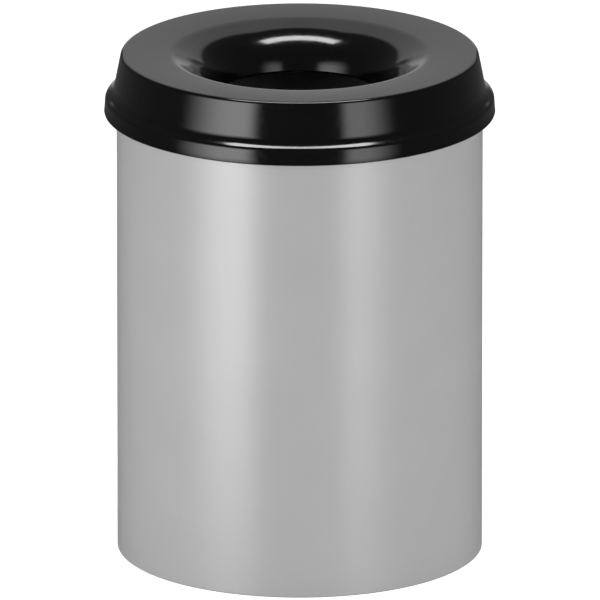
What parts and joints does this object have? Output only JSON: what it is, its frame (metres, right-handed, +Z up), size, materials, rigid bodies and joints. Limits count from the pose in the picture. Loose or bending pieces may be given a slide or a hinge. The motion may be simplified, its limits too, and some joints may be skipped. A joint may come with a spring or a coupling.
{
  "type": "self-extinguishing waste bin",
  "caption": "Free-standing round steel waste bin with a raised bottom, a floor ring and a lift-off black head whose open funnel throat smothers flames.",
  "frame": {"origin": "on the floor, on the bin's upright axis, in the plane of the floor ring's underside", "axes": "+Z up along the bin's axis, +Y towards the back, where the body's welded seam is, +X to the right seen from the front"},
  "size_m": [0.2724, 0.2724, 0.358],
  "materials": {
    "body_paint": "satin silver-grey powder coat",
    "pan_paint": "satin silver-grey powder coat, plain underneath",
    "head_paint": "gloss black powder coat",
    "ring_plastic": "moulded black plastic, fine texture",
    "pad_rubber": "plain black rubber"
  },
  "bodies": {
    "bin": {"body_shell": "body_paint", "base_pan": "pan_paint", "floor_ring": "ring_plastic"},
    "head": {"head_shell": "head_paint", "head_pad_front_left": "pad_rubber", "head_pad_front_right": "pad_rubber", "head_pad_rear_left": "pad_rubber", "head_pad_rear_right": "pad_rubber"}
  },
  "joints": [
    {"name": "head_lift", "type": "slide", "parent": "bin", "child": "head", "axis": [0, 0, 1], "range_m": [0, 0.12]}
  ]
}
